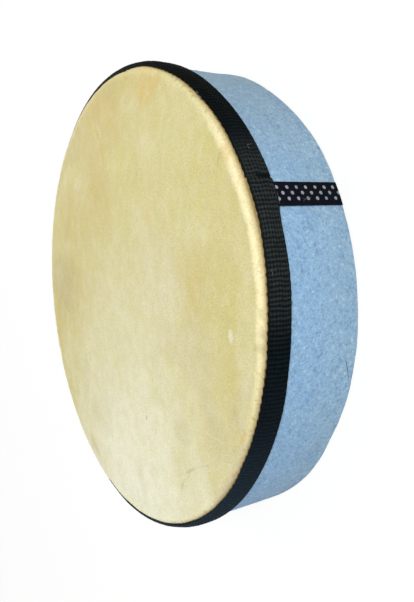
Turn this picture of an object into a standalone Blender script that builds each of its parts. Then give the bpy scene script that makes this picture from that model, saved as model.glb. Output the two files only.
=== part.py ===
"""Ten-inch hand drum: a goatskin head stapled over a bent plywood hoop.

The hoop stands on its open rear edge at z = 0, with its axis on +Z and the head on top.
Felt covers the side, woven webbing hides the staples and a ribbon hides the felt's seam.
All lengths are in metres and all angles are in degrees, counted from +X round +Z.
"""

import math

import bmesh
import bpy
from mathutils import Matrix, Vector

# Hoop of bent plies, glued one inside the other
SHELL_DIAMETER = 0.250
SHELL_DEPTH = 0.053
PLY_THICKNESS = 0.0020
PLY_NAMES = ("shell_inner_ply", "shell_core_ply", "shell_outer_ply")
PLY_SEAM_GAP = 0.0006
FIRST_PLY_SEAM_DEG = 90.0
RIM_ROUND = 0.0020
RIM_INNER_EASE = 0.0010
REAR_EASE = 0.0008

# Goatskin head, drawn over the rim and down the outside
SKIN_THICKNESS = 0.0007

# Staples that hold the skin's skirt to the hoop
STAPLE_COUNT = 24
STAPLE_CROWN = 0.0112
STAPLE_LEG = 0.0040
STAPLE_SHARE = 0.4
WIRE_WIDTH = 0.0012
WIRE_THICKNESS = 0.0006

# Felt round the side
FELT_THICKNESS = 0.0016
FELT_SETBACK = 0.0004
FELT_SEAM_GAP = 0.0006

# Ribbon along the felt's seam
SEAM_DEG = -72.0
RIBBON_WIDTH = 0.0114
RIBBON_THICKNESS = 0.00035

# Webbing round the rim
WEB_WIDTH = 0.0110
WEB_THICKNESS = 0.0011
WEB_DROP = 0.0021
WEB_FELT_LAP = 0.0027
WEB_END_GAP = 0.0005
WEB_END_LAP = 0.0015
WEB_SKEW = 0.0014
WEB_EASE_DEG = 9.0
WEB_SKEW_EASE_DEG = 27.0

# Clearance between pieces that are glued or pressed together
FIT_GAP = 0.0003

# Facets
TURN_STEPS = 96
ARC_STEPS = 5

# Sizes that follow from those above
SHELL_RADIUS = SHELL_DIAMETER / 2
PLY_PITCH = PLY_THICKNESS + FIT_GAP
SHELL_INNER_RADIUS = SHELL_RADIUS - len(PLY_NAMES) * PLY_PITCH + FIT_GAP
SKIN_INNER_RADIUS = SHELL_RADIUS + FIT_GAP
SKIN_OUTER_RADIUS = SKIN_INNER_RADIUS + SKIN_THICKNESS
HEAD_TOP = SHELL_DEPTH + FIT_GAP + SKIN_THICKNESS
WEB_FRONT = HEAD_TOP - WEB_DROP
WEB_REAR = WEB_FRONT - WEB_WIDTH
FELT_INNER_RADIUS = SHELL_RADIUS + FIT_GAP
FELT_OUTER_RADIUS = FELT_INNER_RADIUS + FELT_THICKNESS
FELT_FRONT = WEB_REAR + WEB_FELT_LAP
SKIRT_END = FELT_FRONT + FIT_GAP
STAPLE_PITCH_DEG = 360.0 / STAPLE_COUNT
STAPLE_HEIGHT = SKIRT_END + (WEB_FRONT - SKIRT_END) * STAPLE_SHARE
STAPLE_SEAT_RADIUS = SKIN_OUTER_RADIUS + FIT_GAP
STAPLE_REACH = math.hypot(STAPLE_SEAT_RADIUS + WIRE_THICKNESS, STAPLE_CROWN / 2)
RIBBON_INNER_RADIUS = FELT_OUTER_RADIUS + FIT_GAP
RIBBON_OUTER_RADIUS = RIBBON_INNER_RADIUS + RIBBON_THICKNESS
RIBBON_HALF_DEG = math.degrees(RIBBON_WIDTH / 2 / RIBBON_OUTER_RADIUS)
WEB_FRONT_RADIUS = SKIN_OUTER_RADIUS + FIT_GAP
WEB_BED_RADIUS = max(STAPLE_REACH, FELT_OUTER_RADIUS) + FIT_GAP
WEB_LIFT = max(0.0, RIBBON_OUTER_RADIUS + FIT_GAP - WEB_BED_RADIUS)


def clear_scene():
    for old in list(bpy.data.objects):
        bpy.data.objects.remove(old)


def finish_material(name, colour, roughness, metallic=0.0):
    material = bpy.data.materials.new(name)
    material.use_nodes = True
    shader = material.node_tree.nodes["Principled BSDF"]
    shader.inputs["Base Color"].default_value = (*colour, 1.0)
    shader.inputs["Roughness"].default_value = roughness
    shader.inputs["Metallic"].default_value = metallic
    return material


def mesh_from(bm, name):
    """The finished mesh, with its faces out, smooth on round stretches and sharp at edges."""
    bmesh.ops.recalc_face_normals(bm, faces=bm.faces)
    mesh = bpy.data.meshes.new(name)
    bm.to_mesh(mesh)
    bm.free()
    mesh.shade_smooth()
    mesh.set_sharp_from_angle(angle=math.radians(35.0))
    return mesh


def add_piece(name, mesh, material, parent):
    if not mesh.materials:
        mesh.materials.append(material)
    piece = bpy.data.objects.new(name, mesh)
    bpy.context.scene.collection.objects.link(piece)
    piece.parent = parent
    return piece


def arc_points(centre, radius, start_deg, end_deg):
    """Points (radius from the axis, height) along an arc of a turned profile."""
    points = []
    for step in range(ARC_STEPS + 1):
        angle = math.radians(start_deg + (end_deg - start_deg) * step / ARC_STEPS)
        points.append((centre[0] + radius * math.cos(angle), centre[1] + radius * math.sin(angle)))
    return points


def profile_loop(bm, profile, start_deg=0.0):
    """A closed outline of (radius, height) points, stood up at start_deg round the axis."""
    turn = Matrix.Rotation(math.radians(start_deg), 3, "Z")
    return [bm.verts.new(turn @ Vector((radius, 0.0, height))) for radius, height in profile]


def bent_strip(profile, start_deg, sweep_deg):
    """A flat strip bent round the axis: its cross-section spun through less than a full turn."""
    bm = bmesh.new()
    section = bm.faces.new(profile_loop(bm, profile, start_deg))
    steps = max(2, math.ceil(TURN_STEPS * abs(sweep_deg) / 360.0))
    bmesh.ops.spin(
        bm,
        geom=[section, *section.edges, *section.verts],
        cent=(0.0, 0.0, 0.0),
        axis=(0.0, 0.0, 1.0),
        angle=math.radians(sweep_deg),
        steps=steps,
    )
    return bm


def turned_skin(profile):
    """A closed solid of revolution whose outline starts and ends on the axis."""
    bm = bmesh.new()
    outline = profile_loop(bm, profile)
    edges = [bm.edges.new(pair) for pair in zip(outline, outline[1:])]
    bmesh.ops.spin(
        bm,
        geom=[*outline, *edges],
        cent=(0.0, 0.0, 0.0),
        axis=(0.0, 0.0, 1.0),
        angle=math.tau,
        steps=TURN_STEPS,
        use_merge=True,
    )
    bmesh.ops.remove_doubles(bm, verts=bm.verts, dist=FIT_GAP / 100)
    return bm


def rim_height(radius):
    """Height of the hoop's rounded front edge at a distance from the axis."""
    outer_start = SHELL_RADIUS - RIM_ROUND
    inner_start = SHELL_INNER_RADIUS + RIM_INNER_EASE
    if radius > outer_start:
        return SHELL_DEPTH - RIM_ROUND + math.sqrt(max(0.0, RIM_ROUND**2 - (radius - outer_start) ** 2))
    if radius < inner_start:
        fall = math.sqrt(max(0.0, RIM_INNER_EASE**2 - (inner_start - radius) ** 2))
        return SHELL_DEPTH - RIM_INNER_EASE + fall
    return SHELL_DEPTH


def rim_outline(inner_radius, outer_radius):
    """The part of the rounded rim that lies on one ply, from its outer face to its inner face."""
    bends = arc_points((SHELL_RADIUS - RIM_ROUND, SHELL_DEPTH - RIM_ROUND), RIM_ROUND, 0.0, 90.0)
    bends += arc_points(
        (SHELL_INNER_RADIUS + RIM_INNER_EASE, SHELL_DEPTH - RIM_INNER_EASE), RIM_INNER_EASE, 90.0, 180.0
    )
    clear = FIT_GAP / 2
    between = [point for point in bends if inner_radius + clear < point[0] < outer_radius - clear]
    outer_corner = (outer_radius, rim_height(outer_radius))
    inner_corner = (inner_radius, rim_height(inner_radius))
    return [outer_corner, *between, inner_corner]


def make_plies(parent, cutter):
    """The three plies share one rounded rim, and the innermost is eased at the rear, where it is held."""
    wood = finish_material("birch_ply", (0.72, 0.55, 0.34), 0.6)
    rear_ease = min(REAR_EASE, PLY_THICKNESS / 2)
    for index, name in enumerate(PLY_NAMES):
        inner_radius = SHELL_INNER_RADIUS + index * PLY_PITCH
        outer_radius = inner_radius + PLY_THICKNESS
        rear = [(inner_radius, 0.0), (outer_radius, 0.0)]
        if index == 0:
            rear[:1] = [(inner_radius, rear_ease), (inner_radius + rear_ease, 0.0)]
        profile = [*rear, *rim_outline(inner_radius, outer_radius)]
        seam = SEAM_DEG + FIRST_PLY_SEAM_DEG + index * 360.0 / len(PLY_NAMES)
        gap = math.degrees(PLY_SEAM_GAP / outer_radius)
        bm = bent_strip(profile, seam + gap / 2, 360.0 - gap)
        ply = add_piece(name, mesh_from(bm, name), wood, parent)
        if outer_radius > STAPLE_SEAT_RADIUS - STAPLE_LEG - FIT_GAP:
            cut_slots(ply, cutter)


def make_head(parent, cutter):
    goatskin = finish_material("goatskin", (0.72, 0.66, 0.38), 0.55)
    centre = (SHELL_RADIUS - RIM_ROUND, SHELL_DEPTH - RIM_ROUND)
    inner_bend = RIM_ROUND + FIT_GAP
    outer_bend = inner_bend + SKIN_THICKNESS
    profile = [
        (0.0, HEAD_TOP),
        *arc_points(centre, outer_bend, 90.0, 0.0),
        (SKIN_OUTER_RADIUS, SKIRT_END),
        (SKIN_INNER_RADIUS, SKIRT_END),
        *arc_points(centre, inner_bend, 0.0, 90.0),
        (0.0, HEAD_TOP - SKIN_THICKNESS),
    ]
    head = add_piece("drum_head", mesh_from(turned_skin(profile), "drum_head"), goatskin, parent)
    cut_slots(head, cutter)


def staple_angles():
    return [SEAM_DEG + STAPLE_PITCH_DEG * (index + 0.5) for index in range(STAPLE_COUNT)]


def staple_frame(angle_deg):
    """Place of a staple: X along the crown, Y out of the hoop, Z along the drum's axis."""
    turn = Matrix.Rotation(math.radians(angle_deg - 90.0), 4, "Z")
    return turn @ Matrix.Translation((0.0, STAPLE_SEAT_RADIUS, STAPLE_HEIGHT))


def staple_mesh():
    """Flat wire bent to a U, with chisel points, whose crown rests on Y = 0."""
    outer = STAPLE_CROWN / 2
    inner = outer - WIRE_THICKNESS
    point = WIRE_THICKNESS
    right = [(outer, WIRE_THICKNESS), (outer, point - STAPLE_LEG), (inner, -STAPLE_LEG), (inner, 0.0)]
    left = [(-across, up) for across, up in reversed(right)]
    bm = bmesh.new()
    outline = [bm.verts.new((across, up, -WIRE_WIDTH / 2)) for across, up in right + left]
    side = bm.faces.new(outline)
    made = bmesh.ops.extrude_face_region(bm, geom=[side])["geom"]
    moved = [item for item in made if isinstance(item, bmesh.types.BMVert)]
    bmesh.ops.translate(bm, verts=moved, vec=(0.0, 0.0, WIRE_WIDTH))
    return mesh_from(bm, "head_staple")


def make_staples(parent):
    steel = finish_material("staple_steel", (0.55, 0.55, 0.56), 0.35, 1.0)
    mesh = staple_mesh()
    for number, angle in enumerate(staple_angles(), start=1):
        staple = add_piece(f"head_staple_{number:02d}", mesh, steel, parent)
        place = staple_frame(angle)
        staple.location = place.to_translation()
        staple.rotation_euler = place.to_euler()


def make_slot_cutter(parent):
    """Two slots for each staple's legs, from outside the skirt to just past the points."""
    bm = bmesh.new()
    across = STAPLE_CROWN / 2 - WIRE_THICKNESS / 2
    top = WIRE_THICKNESS
    bottom = -STAPLE_LEG - FIT_GAP
    size = (WIRE_THICKNESS + 2 * FIT_GAP, top - bottom, WIRE_WIDTH + 2 * FIT_GAP)
    for angle in staple_angles():
        for side in (-1, 1):
            middle = Matrix.Translation((side * across, (top + bottom) / 2, 0.0))
            stretch = Matrix.Diagonal((*size, 1.0))
            bmesh.ops.create_cube(bm, size=1.0, matrix=staple_frame(angle) @ middle @ stretch)
    mesh = bpy.data.meshes.new("staple_slots")
    bm.to_mesh(mesh)
    bm.free()
    cutter = bpy.data.objects.new("staple_slots", mesh)
    bpy.context.scene.collection.objects.link(cutter)
    cutter.parent = parent
    cutter.display_type = "WIRE"
    cutter.hide_render = True
    return cutter


def cut_slots(piece, cutter):
    cut = piece.modifiers.new("staple slots", "BOOLEAN")
    cut.operation = "DIFFERENCE"
    cut.solver = "EXACT"
    cut.object = cutter


def make_felt(parent):
    felt = finish_material("blue_felt", (0.27, 0.45, 0.65), 0.95)
    profile = [
        (FELT_INNER_RADIUS, FELT_SETBACK),
        (FELT_OUTER_RADIUS, FELT_SETBACK),
        (FELT_OUTER_RADIUS, FELT_FRONT),
        (FELT_INNER_RADIUS, FELT_FRONT),
    ]
    gap = math.degrees(FELT_SEAM_GAP / FELT_OUTER_RADIUS)
    bm = bent_strip(profile, SEAM_DEG + gap / 2, 360.0 - gap)
    add_piece("felt_cover", mesh_from(bm, "felt_cover"), felt, parent)


def make_ribbon(parent):
    black = finish_material("ribbon_black", (0.012, 0.012, 0.018), 0.6)
    profile = [
        (RIBBON_INNER_RADIUS, FELT_SETBACK),
        (RIBBON_OUTER_RADIUS, FELT_SETBACK),
        (RIBBON_OUTER_RADIUS, FELT_FRONT),
        (RIBBON_INNER_RADIUS, FELT_FRONT),
    ]
    bm = bent_strip(profile, SEAM_DEG - RIBBON_HALF_DEG, 2 * RIBBON_HALF_DEG)
    add_piece("seam_ribbon", mesh_from(bm, "seam_ribbon"), black, parent)


def ease(share):
    """1 at the start, 0 at the end, level at both."""
    share = min(1.0, max(0.0, share))
    return 1.0 - share * share * (3.0 - 2.0 * share)


def make_webbing(parent):
    """Tape that hugs the skin at its front edge, spans the staples and beds on the felt.

    Its first end lies over the ribbon, so it is lifted there. Both ends lean a little to the rear.
    """
    black = finish_material("webbing_black", (0.010, 0.011, 0.011), 0.7)
    shoulder = STAPLE_HEIGHT + WIRE_WIDTH / 2 + FIT_GAP + WEB_SKEW
    inner_face = [(WEB_BED_RADIUS, WEB_REAR), (WEB_BED_RADIUS, shoulder), (WEB_FRONT_RADIUS, WEB_FRONT)]
    outer_face = [(radius + WEB_THICKNESS, height) for radius, height in reversed(inner_face)]
    first_end = SEAM_DEG + RIBBON_HALF_DEG + math.degrees(WEB_END_LAP / RIBBON_OUTER_RADIUS)
    gap = math.degrees(WEB_END_GAP / WEB_BED_RADIUS)
    bm = bent_strip(inner_face + outer_face, first_end, gap - 360.0)
    lifted = first_end - (SEAM_DEG - RIBBON_HALF_DEG) + math.degrees(WEB_END_LAP / RIBBON_OUTER_RADIUS)
    for vert in bm.verts:
        along = (first_end - math.degrees(math.atan2(vert.co.y, vert.co.x))) % 360.0
        along = 0.0 if along > 360.0 - gap / 2 else along
        outward = Vector((vert.co.x, vert.co.y, 0.0)).normalized()
        vert.co += outward * WEB_LIFT * ease((along - lifted) / WEB_EASE_DEG)
        from_end = min(along, 360.0 - gap - along)
        vert.co.z -= WEB_SKEW * ease(from_end / WEB_SKEW_EASE_DEG)
    add_piece("rim_webbing", mesh_from(bm, "rim_webbing"), black, parent)


def main():
    clear_scene()
    drum = bpy.data.objects.new("hand_drum", None)
    bpy.context.scene.collection.objects.link(drum)
    cutter = make_slot_cutter(drum)
    make_plies(drum, cutter)
    make_head(drum, cutter)
    make_staples(drum)
    make_felt(drum)
    make_ribbon(drum)
    make_webbing(drum)


main()
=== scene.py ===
import math

import bpy
import numpy as np
from mathutils import Matrix, Vector


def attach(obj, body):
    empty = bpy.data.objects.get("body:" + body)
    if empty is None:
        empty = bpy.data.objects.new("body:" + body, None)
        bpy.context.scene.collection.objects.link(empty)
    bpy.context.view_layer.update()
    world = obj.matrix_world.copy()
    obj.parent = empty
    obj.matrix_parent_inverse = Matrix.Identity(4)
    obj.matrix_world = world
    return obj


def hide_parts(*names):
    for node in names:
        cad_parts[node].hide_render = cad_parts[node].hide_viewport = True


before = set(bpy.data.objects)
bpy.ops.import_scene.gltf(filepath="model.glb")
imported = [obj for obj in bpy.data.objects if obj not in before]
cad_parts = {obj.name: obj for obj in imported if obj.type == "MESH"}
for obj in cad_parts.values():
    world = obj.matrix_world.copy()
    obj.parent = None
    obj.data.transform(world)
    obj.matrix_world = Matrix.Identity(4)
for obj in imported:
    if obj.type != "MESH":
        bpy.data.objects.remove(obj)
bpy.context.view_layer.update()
mm = 0.001
print("frame loaded:", len(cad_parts), "pieces")


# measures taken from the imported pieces

def ringOf(node):
    points = np.array([v.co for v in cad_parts[node].data.vertices])
    across = np.hypot(points[:, 0], points[:, 1])
    turns = np.arctan2(points[:, 1], points[:, 0])
    return {
        "inner": across.min(),
        "outer": across.max(),
        "low": points[:, 2].min(),
        "high": points[:, 2].max(),
        "turn": math.atan2(points[:, 1].mean(), points[:, 0].mean()),
        "span": turns.max() - turns.min(),
    }


headRing = ringOf("drum_head")
feltRing = ringOf("felt_cover")
ribbonRing = ringOf("seam_ribbon")
webbingRing = ringOf("rim_webbing")
seamTurn = ribbonRing["turn"]  # where the felt ends meet, under the ribbon


# shader sums

class Wire:
    # one output of a node, which Python sums can use
    def __init__(self, look, socket):
        self.look = look
        self.socket = socket

    def maths(self, operation, *values):
        return self.look.node("Math", {"operation": operation}, dict(enumerate(values)))

    def __add__(self, other):
        return self.maths("ADD", self, other)

    def __radd__(self, other):
        return self.maths("ADD", other, self)

    def __sub__(self, other):
        return self.maths("SUBTRACT", self, other)

    def __rsub__(self, other):
        return self.maths("SUBTRACT", other, self)

    def __mul__(self, other):
        return self.maths("MULTIPLY", self, other)

    def __rmul__(self, other):
        return self.maths("MULTIPLY", other, self)

    def __truediv__(self, other):
        return self.maths("DIVIDE", self, other)

    def __pow__(self, other):
        return self.maths("POWER", self, other)

    def larger(self, other):
        return self.maths("MAXIMUM", self, other)

    def clipped(self):
        return self.maths("MINIMUM", self.maths("MAXIMUM", self, 0.0), 1.0)

    def between(self, low, high):  # 0 at low, 1 at high, eased at both
        settings = {"interpolation_type": "SMOOTHSTEP"}
        return self.look.node("MapRange", settings, {"Value": self, "From Min": low, "From Max": high})


class NodeTree:
    # the nodes of a material or of the world
    def __init__(self, tree):
        self.tree = tree

    def feed(self, socket, value):
        if isinstance(value, Wire):
            self.tree.links.new(value.socket, socket)
        else:
            socket.default_value = value

    def node(self, kind, settings=None, sockets=None, output=0):
        made = self.tree.nodes.new("ShaderNode" + kind)
        for name, value in (settings or {}).items():
            setattr(made, name, value)
        for socket, value in (sockets or {}).items():
            self.feed(made.inputs[socket], value)
        return Wire(self, made.outputs[output])

    def seen(self):  # 1 where the backdrop shows, straight or in a reflection
        share = 0.0
        for ray in ("Is Camera Ray", "Is Glossy Ray", "Is Transmission Ray"):
            share = self.node("LightPath", output=ray).larger(share)
        return share


class Look(NodeTree):
    # a material in the making
    def __init__(self, name, **fixed):
        self.material = bpy.data.materials.new(name)
        self.material.use_nodes = True
        super().__init__(self.material.node_tree)
        self.shader = self.tree.nodes["Principled BSDF"]
        for socket, value in fixed.items():
            self.shader.inputs[socket.replace("_", " ")].default_value = value

    def finish(self, **surface):
        for socket, value in surface.items():
            self.feed(self.shader.inputs[socket.replace("_", " ")], value)
        return self.material

    def attribute(self, name):
        return self.node("Attribute", {"attribute_name": name}, output="Vector")

    def place(self):  # the point on the piece, in millimetres
        spot = self.node("TexCoord", output="Object")
        return self.node("VectorMath", {"operation": "SCALE"}, {0: spot, "Scale": 1 / mm})

    def apart(self, vector):
        split = self.node("SeparateXYZ", sockets={0: vector}).socket.node
        return [Wire(self, split.outputs[axis]) for axis in "XYZ"]

    def stretched(self, vector, factors, turn=0.0):
        turned = self.node("VectorRotate", {"rotation_type": "Z_AXIS"}, {"Vector": vector, "Angle": turn})
        return self.node("VectorMath", {"operation": "MULTIPLY"}, {0: turned, 1: factors})

    def noise(self, vector, size, detail=2.0, seed=0.0, rough=0.5, output=0):
        sockets = {"Vector": vector, "W": seed, "Scale": 1 / size, "Detail": detail, "Roughness": rough}
        return self.node("TexNoise", {"noise_dimensions": "4D"}, sockets, output)

    def cells(self, vector, size):
        return self.node("TexVoronoi", {}, {"Vector": vector, "Scale": 1 / size}, "Distance")

    def blend(self, share, first, second):
        return self.node("Mix", {"data_type": "RGBA"}, {0: share, 6: first, 7: second}, output=2)

    def shade(self, colour, amount):  # brighter above 0, darker below
        level = 1.0 + amount
        grey = self.node("CombineColor", sockets={"Red": level, "Green": level, "Blue": level})
        mixing = {"data_type": "RGBA", "blend_type": "MULTIPLY"}
        return self.node("Mix", mixing, {0: 1.0, 6: colour, 7: grey}, output=2)

    def bump(self, height, depth, strength=1.0):
        return self.node("Bump", sockets={"Height": height, "Distance": depth, "Strength": strength})


def tint(red, green, blue):  # a screen colour, 0 to 255, as the shader wants it
    def straight(level):
        level = level / 255
        return level / 12.92 if level <= 0.04045 else ((level + 0.055) / 1.055) ** 2.4
    return (straight(red), straight(green), straight(blue), 1.0)


def facing(x, y, turn):  # 1 on the side of the hoop that lies at a turn, -1 on the other side
    return (x * math.cos(turn) + y * math.sin(turn)) / (x * x + y * y) ** 0.5


# mesh helpers

def onHoop(turn, radius, height):
    turn, radius, height = np.broadcast_arrays(turn, radius, height)
    return np.stack([radius * np.cos(turn), radius * np.sin(turn), height], axis=-1)


def eased(share):  # 1 at 0 falling to 0 at 1
    share = np.clip(share, 0.0, 1.0)
    return 1.0 - share * share * (3.0 - 2.0 * share)


def ripple(points, wave, seed):  # smooth bumps about one wave across, from about -1 to 1
    rng = np.random.default_rng(seed)
    count = 14  # plain waves added up
    heading = rng.normal(size=(count, 3))
    heading /= np.linalg.norm(heading, axis=1, keepdims=True)
    pace = heading * (2 * math.pi / wave) * rng.uniform(0.6, 1.4, (count, 1))
    start = rng.uniform(0, 2 * math.pi, count)
    return np.cos(points @ pace.T + start).sum(axis=-1) / math.sqrt(count / 2) / 2


def wandering(knots, places, soft):
    # an edge given as knots of degrees and millimetres, joined and softened over soft degrees
    knots = np.array(knots)
    dense = np.linspace(knots[0, 0], knots[-1, 0], 1441)  # four to a degree
    offsets = np.interp(dense, knots[:, 0], knots[:, 1])
    window = np.hanning(max(3, int(soft / (dense[1] - dense[0]))))
    padded = np.pad(offsets, window.size // 2, mode="edge")
    smooth = np.convolve(padded, window / window.sum(), mode="same")
    smooth = smooth[window.size // 2:][:dense.size]
    return np.interp(places, dense, smooth) * mm


def bearingOf(turn):  # in degrees, from -180 to 180
    return (np.degrees(turn) + 180) % 360 - 180


def gridFaces(rows, columns):  # between rows of points, each row closed on itself
    row, column = np.meshgrid(np.arange(rows - 1), np.arange(columns), indexing="ij")
    start, after = row * columns, (column + 1) % columns
    corners = [start + column, start + columns + column]
    corners += [start + columns + after, start + after]
    return np.stack(corners, axis=-1).reshape(-1, 4)


creaseAngle = math.radians(60.0)  # steeper edges than this stay sharp


def makePiece(name, points, faces, material, lay=None):
    points = points.reshape(-1, 3)
    mesh = bpy.data.meshes.new(name)
    mesh.from_pydata(points.tolist(), [], [list(face) for face in faces])
    mesh.shade_smooth()
    mesh.set_sharp_from_angle(angle=creaseAngle)
    if lay is not None:
        held = mesh.attributes.new("lay", "FLOAT_VECTOR", "POINT")
        held.data.foreach_set("vector", lay.reshape(-1, 3).astype(np.float32).ravel())
    mesh.materials.append(material)
    piece = bpy.data.objects.new(name, mesh)
    bpy.context.scene.collection.objects.link(piece)
    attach(piece, "root")
    return piece


def facesOut(points, faces):  # turned over if the closed form is inside out
    a, b, c, d = np.moveaxis(points.reshape(-1, 3)[faces], 1, 0)
    volume = (a * np.cross(b, c)).sum() + (a * np.cross(c, d)).sum()
    return faces if volume > 0 else faces[:, ::-1]


def bandFaces(sections):  # a closed section drawn along a strip, with both ends shut
    stations, loop = sections.shape[:2]
    sides = facesOut(sections, gridFaces(stations, loop))
    first = list(range(loop))
    last = list(range((stations - 1) * loop, stations * loop))
    turnedOver = sides[0][0] != 0
    caps = [first[::-1], last] if turnedOver else [first, last[::-1]]
    return list(sides) + caps


strandCorners = np.radians((90, 210, 330))
strandTaper = 0.6  # share of the thickness that is lost towards the tips


def strandPiece(name, lines, outward, thick, material):
    # thin closed threads of three sides: lines is threads x points x 3
    along = np.gradient(lines, axis=1)
    along /= np.linalg.norm(along, axis=-1, keepdims=True)
    side = np.cross(along, outward)
    side /= np.linalg.norm(side, axis=-1, keepdims=True)
    rise = np.cross(side, along)
    threads, steps = lines.shape[:2]
    taper = 1.0 - strandTaper * np.abs(np.linspace(-1, 1, steps)) ** 3
    radius = (np.reshape(thick, (-1, 1)) / 2 * taper)[..., None]
    corners = [lines + radius * (math.cos(a) * side + math.sin(a) * rise) for a in strandCorners]
    points = np.stack(corners, axis=2)
    loop = np.arange(len(strandCorners))
    start = np.arange(threads)[:, None, None] * steps * loop.size
    sides = (gridFaces(steps, loop.size)[None] + start).reshape(-1, 4)
    ends = np.array([loop, loop[::-1] + (steps - 1) * loop.size])
    caps = (ends[None] + start).reshape(-1, loop.size)
    return makePiece(name, points, list(sides) + list(caps), material)


# woven webbing

webbing = {
    "width": 11.0 * mm,
    "thick": 1.1 * mm,
    "relief": 0.50 * mm,  # rib top to the bottom of the holes
    "rowPitch": 2.0 * mm,
    "columns": 7,
    "rowSteps": 8,
    "columnSteps": 7,
    "endLap": 1.5 * mm,
    "endGap": 0.5 * mm,
    "lift": 0.53 * mm,  # where the first end lies over the ribbon
    "liftEase": math.radians(9.0),
    "skew": 1.4 * mm,  # both ends run off towards the rear
    # millimetres that each edge runs forward, by degrees past the first end
    "frontLine": (
        (0, -1.25), (4, -1.25), (9, -1.55), (14, -1.45), (20, -1.0), (24, -0.65), (28, -0.35),
        (34, -0.4), (40, -0.1), (45, -0.3), (49, 0), (53, -0.15), (58, 0.3), (65, -0.25), (73, -0.3),
        (82, 0.3), (92, 0.5), (102, 1.4), (112, 1.6), (122, 1.3), (130, 0.4), (138, 0.2), (200, 0.2),
        (262, 0.6), (285, 1.75), (303, 1.8), (312, 0.95), (323, 0.65), (331, -0.2), (337, -0.15),
        (343, -1.05), (349, -1.4), (353, -1.15), (357, -1.4), (360, -1.25),
    ),
    "rearLine": (
        (0, -1.85), (3, -2.1), (5, -1.85), (7.5, -0.75), (10, -0.4), (16, -0.75), (21, -0.65),
        (30, 0.1), (39, 0.1), (46, -0.2), (112, -0.2), (200, 0.4), (285, 1.2), (303, 1.2), (314, 0.9),
        (324, 0.6), (332, 0.2), (338, -0.6), (350, -1.6), (360, -2.05),
    ),
    # millimetres that the band stands off the skin
    "looseLine": (
        (0, 0), (60, 0), (78, 0.3), (90, 0.5), (100, 0.2), (108, -0.25), (118, -0.25), (126, 0),
        (262, 0), (276, -0.3), (296, -0.3), (304, 0.1), (310, 0.35), (328, 0.3), (338, 0), (360, 0),
    ),
    # height of the bars across the valleys, over that of the ribs
    "barLine": (
        (0, 0.75), (14, 0.75), (21, 0.42), (36, 0.42), (44, 0.60), (330, 0.60), (345, 0.75),
        (360, 0.75),
    ),
    "lineSoft": 5.0,
    "sway": 0.14,  # how far the threads stray, over their pitch
    "columnSway": 7 * mm,
    "rowSway": 5 * mm,
    "notch": 0.45,  # depth of the notches in every second rib, over the relief
    "pick": (0.60, 1.12),  # some picks lie deeper
    "ribHeight": (0.70, 1.0),
    "rearWeave": 0.7,  # the weave is pressed to one height along each edge
    "foreWeave": 0.6,
    "edgeThin": 0.30,  # share of the thickness that the edges lose
    "backRise": 0.12 * mm,
    "backSteps": 14,
    "endDip": 0.5 * mm,  # the cut ends are pressed flat
    "endDipReach": 0.9 * mm,
    "shoulder": 5.0 * mm,  # length of the front edge's slope down to the skin
    "selvedge": 0.5 * mm,
    "edgeBulge": 0.25 * mm,  # the outer picks push past the woven edge
    "scallop": 0.09 * mm,
    "scallopWave": 22 * mm,
}

webbingTones = {
    # painted reflection, lighter and bluer, on the lower side
    "lighterSide": tint(33, 47, 58),
    # the middle turns, between the painted reflection and the painted shade
    "midSide": tint(20, 29, 35),
    # painted shade on the far side
    "far": tint(10, 15, 14),
    # painted sheen by the seam
    "seamSheen": tint(50, 56, 57),
    "dustAndSheen": tint(56, 62, 61),
    "foreEdge": tint(15, 13, 12),
    # painted shadow in the gap between the two ends
    "endGapShadow": tint(9, 10, 10),
    # painted shade along the rear selvedge
    "rearEdge": tint(8, 8, 16),
}


def webbingStart():  # turn of the first end, a little past the ribbon
    return seamTurn + ribbonRing["span"] / 2 + webbing["endLap"] / ribbonRing["outer"]


def frontEdge(turn):  # height of the webbing's front edge at a turn round the hoop
    past = np.degrees(webbingStart() - turn) % 360
    nominal = webbingRing["low"] + webbing["skew"] + webbing["width"] + webbing["edgeBulge"]
    return nominal + wandering(webbing["frontLine"], past, webbing["lineSoft"])


# goatskin head

skin = {
    "flatRings": 110,
    "bendRings": 12,
    "wallRings": 14,
    "spokes": 720,
    "sag": 0.12 * mm,  # slow rise and fall of the drawn skin
    "sagWave": 70 * mm,
    "rimWander": 0.22 * mm,  # unevenness of the bend over the rim
    "rimWave": 16 * mm,
    "pucker": 0.10 * mm,  # small folds down the wall, from the staples' pull
    "puckerCount": 48,
    "puckerWave": 60 * mm,
    "edgeFrom": 0.93,  # share of the flat's radius where that unevenness begins
    "centreGap": 0.004,  # share of the flat's radius inside the first ring
    "bend": 3.0 * mm,
    "thick": 0.7 * mm,
    "roundSoft": 20.0,
    # millimetres out of round, by degrees of turn
    "roundLine": (
        (-180, -0.05), (-60, 0), (10, 0.05), (25, 0.4), (45, 0.6), (65, 0.6), (80, 0.4), (100, 0.1),
        (125, -0.15), (180, -0.05),
    ),
}

skinTones = {
    "hide": tint(212, 201, 140),
    "pale": tint(242, 240, 215),
    "brown": tint(205, 186, 117),
    "dusk": tint(186, 170, 124),
    "amber": tint(216, 184, 110),
    "olive": tint(212, 205, 136),
    "smoke": tint(206, 195, 162),
    "bone": tint(242, 240, 222),
    # painted highlight on the bend over the rim
    "rim": tint(251, 240, 195),
    # painted shade on the wall under the bend
    "wall": tint(218, 202, 154),
    # painted shadow of the webbing, partly a brownish stain; also small spots on the bend
    "edge": tint(196, 175, 122),
    # painted shadow of the webbing
    "tuckShadow": tint(150, 126, 80),
    # painted shadow in the gaps along the webbing's edge
    "gapShadow": tint(104, 80, 48),
    "rosy": tint(226, 210, 182),
    # lighter painted shadow of the webbing, where it stands off on the lit side
    "lipShadow": tint(191, 165, 108),
    "flesh": tint(222, 206, 160),
    "fleshDark": tint(200, 174, 118),
}

dullestTurn = math.radians(-131)  # the bend is rosier, a little darker and keeps less painted highlight about this turn
fineMark = 3.0  # marks up to this half size keep their place, wider ones are drawn about

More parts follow.
